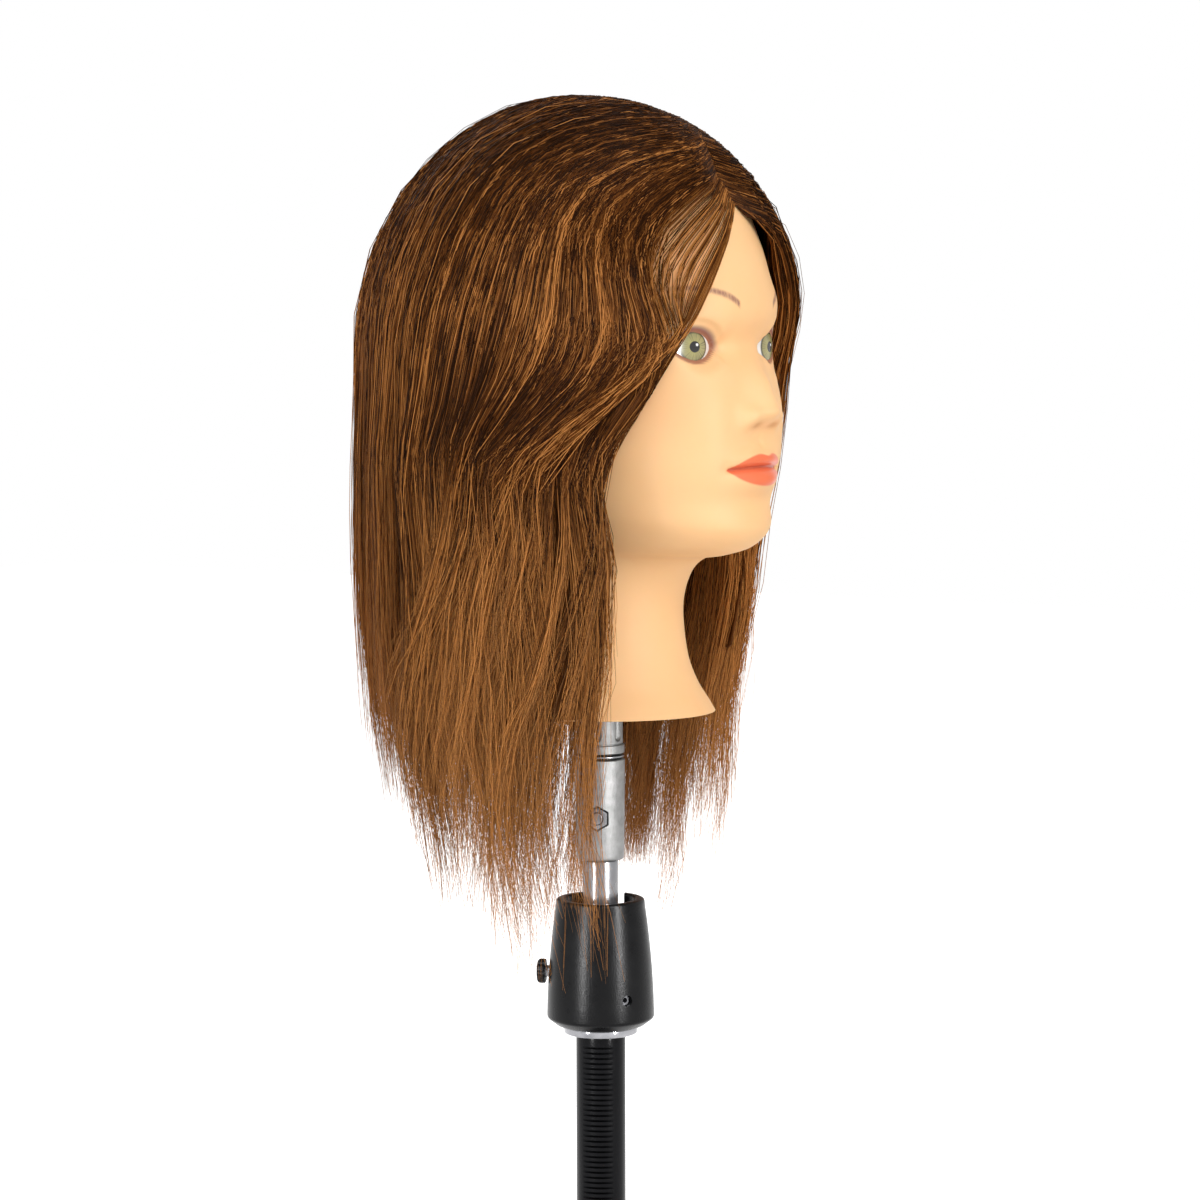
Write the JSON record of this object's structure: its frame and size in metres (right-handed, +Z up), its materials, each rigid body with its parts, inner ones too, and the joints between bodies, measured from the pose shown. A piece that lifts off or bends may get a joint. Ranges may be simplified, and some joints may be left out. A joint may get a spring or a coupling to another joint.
{
  "type": "mannequin training head",
  "caption": "Hairdressing mannequin head with long parted hair that lifts off a fluted swivel plug, on a lockable tilting ball joint at the top of a toothed round column.",
  "frame": {"origin": "centre of the flat underside of the column's foot cap", "axes": "+Z up along the column, the face looks along -Y, the head's own left side is +X"},
  "size_m": [0.2, 0.2328, 0.593],
  "materials": {
    "black_plastic": "satin black moulded plastic",
    "black_paint": "black semi-gloss paint",
    "chrome": "bright plated, turned",
    "steel": "bright turned steel",
    "black_cast": "die-cast with a satin black coat",
    "nylon": "natural nylon",
    "brass": "turned brass",
    "cast_aluminium": "satin cast aluminium",
    "socket_plastic": "moulded plastic",
    "foam": "rigid light foam",
    "skin_vinyl": "satin soft vinyl, painted face",
    "eye_gloss": "glossy",
    "brown_hair": "brown hair, slightly wavy"
  },
  "bodies": {
    "stand": {"column_foot_cap": "black_plastic", "rack_column": "black_paint", "column_flange": "chrome", "column_stud": "steel", "ball_housing": "black_cast", "retaining_ring": "steel", "grub_screw": "steel"},
    "seat": {"ball_seat": "nylon"},
    "pad": {"lock_pad": "brass"},
    "knob": {"lock_screw": "steel", "lock_knob": "black_plastic"},
    "spigot": {"ball_stem": "steel", "spigot_body": "cast_aluminium", "cross_bolt": "steel", "cross_nut": "steel", "swivel_screw": "steel", "friction_washer_lower": "black_plastic", "steel_washer": "steel"},
    "plug": {"fluted_plug": "cast_aluminium", "friction_washer_upper": "black_plastic"},
    "head": {"neck_socket": "socket_plastic", "foam_core": "foam", "head_skin": "skin_vinyl", "eye_left": "eye_gloss", "eye_right": "eye_gloss", "hair_front_right": "brown_hair", "hair_back_right": "brown_hair", "hair_back_left": "brown_hair", "hair_front_left": "brown_hair"}
  },
  "joints": [
    {"name": "head_tilt", "type": "hinge", "parent": "stand", "child": "spigot", "pos_m": [0, 0, 0.173], "axis": [-0.4226, 0.9063, 0], "range_deg": [-20, 90], "deforming": ["hair_front_right", "hair_back_right", "hair_back_left", "hair_front_left"]},
    {"name": "head_swivel", "type": "hinge", "parent": "spigot", "child": "plug", "pos_m": [0, 0, 0.2632], "axis": [0, 0, 1], "continuous": true, "deforming": ["hair_front_right", "hair_back_right", "hair_back_left", "hair_front_left"]},
    {"name": "head_lift", "type": "slide", "parent": "plug", "child": "head", "axis": [0, 0, 1], "range_m": [0, 0.06]},
    {"name": "pad_travel", "type": "slide", "parent": "stand", "child": "pad", "axis": [-0.4226, 0.9063, 0], "range_m": [0, 0.001]},
    {"name": "lock_turn", "type": "hinge", "parent": "pad", "child": "knob", "pos_m": [0, 0, 0.151], "axis": [-0.4226, 0.9063, 0], "range_deg": [0, 360]},
    {"name": "seat_drop", "type": "slide", "parent": "stand", "child": "seat", "axis": [0, 0, -1], "range_m": [0, 0.001]}
  ],
  "couplings": [
    {"joint": "lock_turn", "follows": "pad_travel", "rad_per_m": 6283.2},
    {"joint": "seat_drop", "follows": "pad_travel", "ratio": 1}
  ]
}
